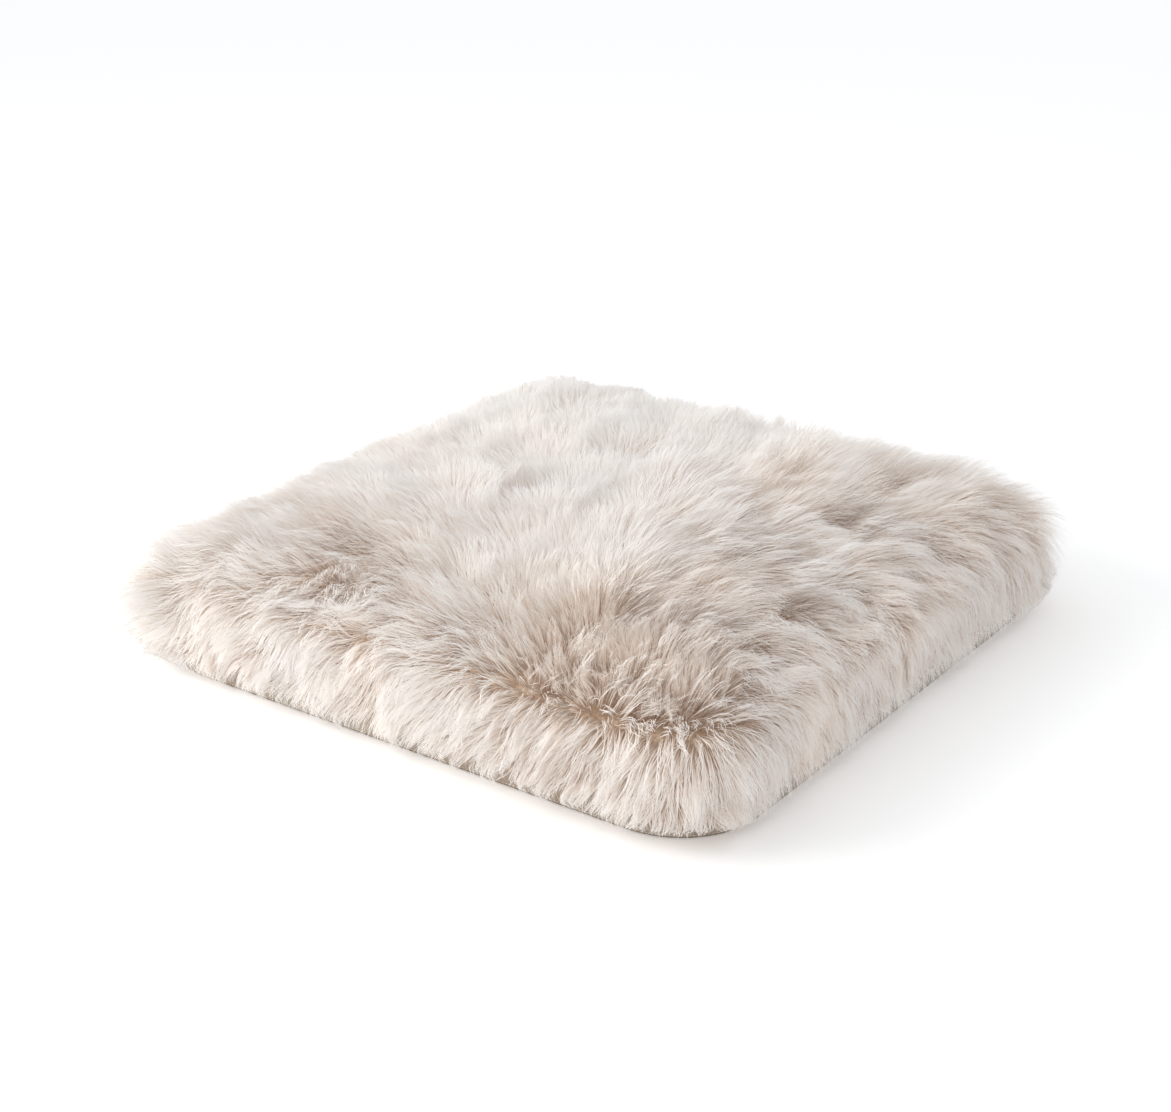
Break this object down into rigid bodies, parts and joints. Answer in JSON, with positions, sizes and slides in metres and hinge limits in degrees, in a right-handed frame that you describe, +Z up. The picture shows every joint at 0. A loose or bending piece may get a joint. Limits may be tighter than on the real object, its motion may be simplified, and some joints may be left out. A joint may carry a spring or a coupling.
{
  "type": "pet cushion bed",
  "caption": "Square floor cushion bed for a pet: long-wool sheepskin cover with a zipped canvas base over a foam and fibre insert.",
  "frame": {"origin": "centre of the base on the floor", "axes": "+Z up; +Y towards the zipped back; X and Y along the bed's sides"},
  "size_m": [0.914, 0.914, 0.2085],
  "materials": {
    "wool": "long soft wool, cream with tan roots",
    "canvas": "plain woven canvas, taupe",
    "webbing": "twill stay tape",
    "ticking": "tight cotton ticking",
    "fibre": "lofted polyester fibre",
    "foam": "open-cell foam",
    "label": "blank satin label",
    "nylon": "satin nylon coil",
    "metal": "antique nickel"
  },
  "bodies": {
    "cover": {"top_pelt_left": "wool", "top_pelt_right": "wool", "side_pelt_front": "wool", "side_pelt_right": "wool", "side_pelt_back": "wool", "side_pelt_left": "wool", "top_seam_tape": "webbing", "centre_seam_tape": "webbing", "base_panel": "canvas", "base_band_front": "canvas", "base_band_right": "canvas", "base_band_left": "canvas", "back_band_left": "canvas", "back_band_right": "canvas", "care_label": "label", "zip_tape_upper": "canvas", "zip_tape_lower": "canvas", "zip_coil_upper": "nylon", "zip_coil_lower": "nylon", "zip_top_stop": "metal", "zip_bottom_stop": "metal", "liner_top": "ticking", "liner_base": "ticking", "liner_wall_front": "ticking", "liner_wall_right": "ticking", "liner_wall_back": "ticking", "liner_wall_left": "ticking", "top_wadding": "fibre", "foam_core": "foam", "base_wadding": "fibre"},
    "zip_slider": {"zip_slider": "metal"},
    "zip_pull": {"zip_pull": "metal"}
  },
  "joints": [
    {"name": "zip_slide", "type": "slide", "parent": "cover", "child": "zip_slider", "axis": [1, 0, 0], "range_m": [0, 0.538]},
    {"name": "pull_hinge", "type": "hinge", "parent": "zip_slider", "child": "zip_pull", "pos_m": [-0.269, 0.4181, 0.017], "axis": [0, 0, 1], "range_deg": [0, 175]}
  ]
}
